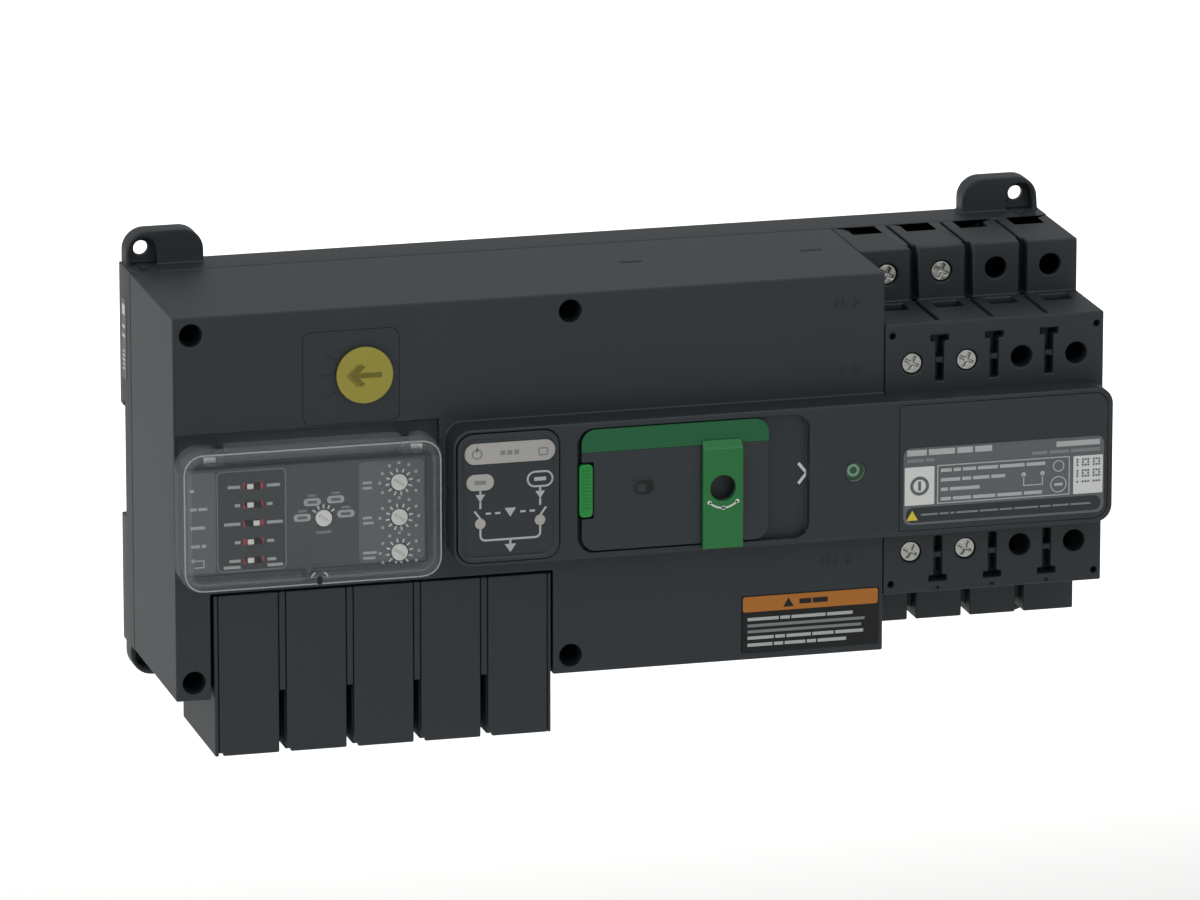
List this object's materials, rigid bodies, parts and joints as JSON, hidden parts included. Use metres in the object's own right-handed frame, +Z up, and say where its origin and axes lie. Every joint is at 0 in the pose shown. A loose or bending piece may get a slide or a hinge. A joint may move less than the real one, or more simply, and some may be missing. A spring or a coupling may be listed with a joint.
{
  "type": "automatic transfer switch",
  "caption": "Modular automatic transfer switch with a clear hinged settings cover, manual slider with lock tab, status nose, stepped screw terminals and a plug-in terminal row",
  "frame": {"origin": "centre of the four fixing holes on the back plane", "axes": "+X to the end with the poles, +Z up, the front faces -Y"},
  "size_m": [0.3012, 0.0902, 0.1527],
  "materials": {
    "moulding": "fine matt grain",
    "pole_moulding": "fine matt grain",
    "nose_parts": "fine matt grain",
    "label_grey": "printed film",
    "label_orange": "printed film",
    "side_label": "printed film",
    "clip_plastic": "fine matt grain",
    "terminal_block": "fine matt grain",
    "panel": "smooth satin",
    "dip_red": "smooth satin",
    "white_plastic": "smooth satin",
    "clear_plastic": "polished, clear",
    "window_plastic": "translucent, satin",
    "yellow_plastic": "satin",
    "green_plastic": "satin",
    "green_print": "printed film",
    "zinc_steel": "bright zinc plating",
    "steel": "plain rolled steel",
    "gear_brass": "machined",
    "copper": "bare copper",
    "board_green": "solder mask",
    "transformer_core": "varnished",
    "relay_blue": "smooth"
  },
  "bodies": {
    "housing": {"rear_housing": "moulding", "front_cover": "moulding", "pole_housing": "pole_moulding", "cover_screws": "zinc_steel", "nameplate": "nose_parts", "nameplate_label": "label_grey", "hazard_label": "label_orange", "side_label": "side_label", "accessory_block": "terminal_block", "accessory_cover_1": "moulding", "accessory_cover_2": "moulding", "accessory_cover_3": "moulding", "accessory_cover_4": "moulding", "accessory_cover_5": "moulding", "settings_panel": "panel", "dip_switches": "dip_red", "dial_bases": "white_plastic", "lid_pins": "zinc_steel", "mimic_panel": "nose_parts", "mimic_lights": "window_plastic", "selector_bezel": "moulding", "position_lens": "clear_plastic", "motor": "steel", "mechanism_frame": "steel", "si_contacts": "copper", "sii_contacts": "copper", "load_contacts": "copper", "arc_chutes": "steel", "terminal_clamps": "gear_brass", "terminal_screws": "zinc_steel", "control_board": "board_green", "power_transformer": "transformer_core", "control_relays": "relay_blue"},
    "lid": {"clear_cover": "clear_plastic"},
    "selector": {"selector_dial": "yellow_plastic"},
    "slider": {"slider_plate": "nose_parts", "slider_band": "green_print"},
    "catch": {"slider_catch": "green_plastic"},
    "lock": {"lock_tab": "green_plastic"},
    "drive": {"drive_shaft": "steel", "drive_gear": "gear_brass"},
    "pinion": {"motor_pinion": "steel"},
    "indicator": {"indicator_wheel": "white_plastic"},
    "contact_shaft": {"main_shaft": "steel", "moving_contacts": "copper"},
    "clip_left": {"rail_clip_left": "clip_plastic"},
    "clip_right": {"rail_clip_right": "clip_plastic"},
    "dip_1": {"dip_knob_1": "white_plastic"},
    "dip_2": {"dip_knob_2": "white_plastic"},
    "dip_3": {"dip_knob_3": "white_plastic"},
    "dip_4": {"dip_knob_4": "white_plastic"},
    "dip_5": {"dip_knob_5": "white_plastic"},
    "trimmer_1": {"dial_1": "white_plastic"},
    "trimmer_2": {"dial_2": "white_plastic"},
    "trimmer_3": {"dial_3": "white_plastic"},
    "trimmer_4": {"dial_4": "white_plastic"}
  },
  "joints": [
    {"name": "lid_hinge", "type": "hinge", "parent": "housing", "child": "lid", "pos_m": [-0.10875, -0.0802, 0.01665], "axis": [-1, 0, 0], "range_deg": [0, 95]},
    {"name": "dip_1_slide", "type": "slide", "parent": "housing", "child": "dip_1", "axis": [1, 0, 0], "range_m": [0, 0.0019]},
    {"name": "dip_2_slide", "type": "slide", "parent": "housing", "child": "dip_2", "axis": [1, 0, 0], "range_m": [0, 0.0019]},
    {"name": "dip_3_slide", "type": "slide", "parent": "housing", "child": "dip_3", "axis": [1, 0, 0], "range_m": [-0.0019, 0]},
    {"name": "dip_4_slide", "type": "slide", "parent": "housing", "child": "dip_4", "axis": [1, 0, 0], "range_m": [0, 0.0019]},
    {"name": "dip_5_slide", "type": "slide", "parent": "housing", "child": "dip_5", "axis": [1, 0, 0], "range_m": [0, 0.0019]},
    {"name": "trimmer_1_turn", "type": "hinge", "parent": "housing", "child": "trimmer_1", "pos_m": [-0.0788, -0.077, 0.0045], "axis": [0, -1, 0], "range_deg": [-150, 150]},
    {"name": "trimmer_2_turn", "type": "hinge", "parent": "housing", "child": "trimmer_2", "pos_m": [-0.0788, -0.077, -0.0068], "axis": [0, -1, 0], "range_deg": [-150, 150]},
    {"name": "trimmer_3_turn", "type": "hinge", "parent": "housing", "child": "trimmer_3", "pos_m": [-0.0788, -0.077, -0.0181], "axis": [0, -1, 0], "range_deg": [-150, 150]},
    {"name": "trimmer_4_turn", "type": "hinge", "parent": "housing", "child": "trimmer_4", "pos_m": [-0.103, -0.077, -0.0054], "axis": [0, -1, 0], "range_deg": [-150, 150]},
    {"name": "selector_turn", "type": "hinge", "parent": "housing", "child": "selector", "pos_m": [-0.0899, -0.077, 0.0399], "axis": [0, -1, 0], "range_deg": [-30, 30]},
    {"name": "slider_travel", "type": "slide", "parent": "housing", "child": "slider", "axis": [1, 0, 0], "range_m": [0, 0.01]},
    {"name": "catch_press", "type": "slide", "parent": "housing", "child": "catch", "axis": [0, 1, 0], "range_m": [0, 0.0012], "stiffness_N_per_m": 400},
    {"name": "lock_pull", "type": "slide", "parent": "slider", "child": "lock", "axis": [0, -1, 0], "range_m": [0, 0.007]},
    {"name": "drive_turn", "type": "hinge", "parent": "housing", "child": "drive", "pos_m": [0.0322, -0.077, -0.0011], "axis": [0, -1, 0], "range_deg": [-30, 30]},
    {"name": "contact_turn", "type": "hinge", "parent": "housing", "child": "contact_shaft", "pos_m": [0.09, -0.0428, -0.0011], "axis": [-1, 0, 0], "range_deg": [-30, 30]},
    {"name": "indicator_turn", "type": "hinge", "parent": "housing", "child": "indicator", "pos_m": [0.0659, -0.077, -0.0067], "axis": [0, -1, 0], "range_deg": [-77, 77]},
    {"name": "pinion_turn", "type": "hinge", "parent": "housing", "child": "pinion", "pos_m": [0.01912, -0.072, -0.02916], "axis": [0, -1, 0], "range_deg": [-116, 116]},
    {"name": "clip_left_pull", "type": "slide", "parent": "housing", "child": "clip_left", "axis": [0, 0, -1], "range_m": [0, 0.003], "stiffness_N_per_m": 2000},
    {"name": "clip_right_pull", "type": "slide", "parent": "housing", "child": "clip_right", "axis": [0, 0, -1], "range_m": [0, 0.003], "stiffness_N_per_m": 2000}
  ],
  "couplings": [
    {"joint": "contact_turn", "follows": "drive_turn", "ratio": 1},
    {"joint": "indicator_turn", "follows": "drive_turn", "ratio": -2.5556},
    {"joint": "pinion_turn", "follows": "drive_turn", "ratio": -3.8333}
  ]
}
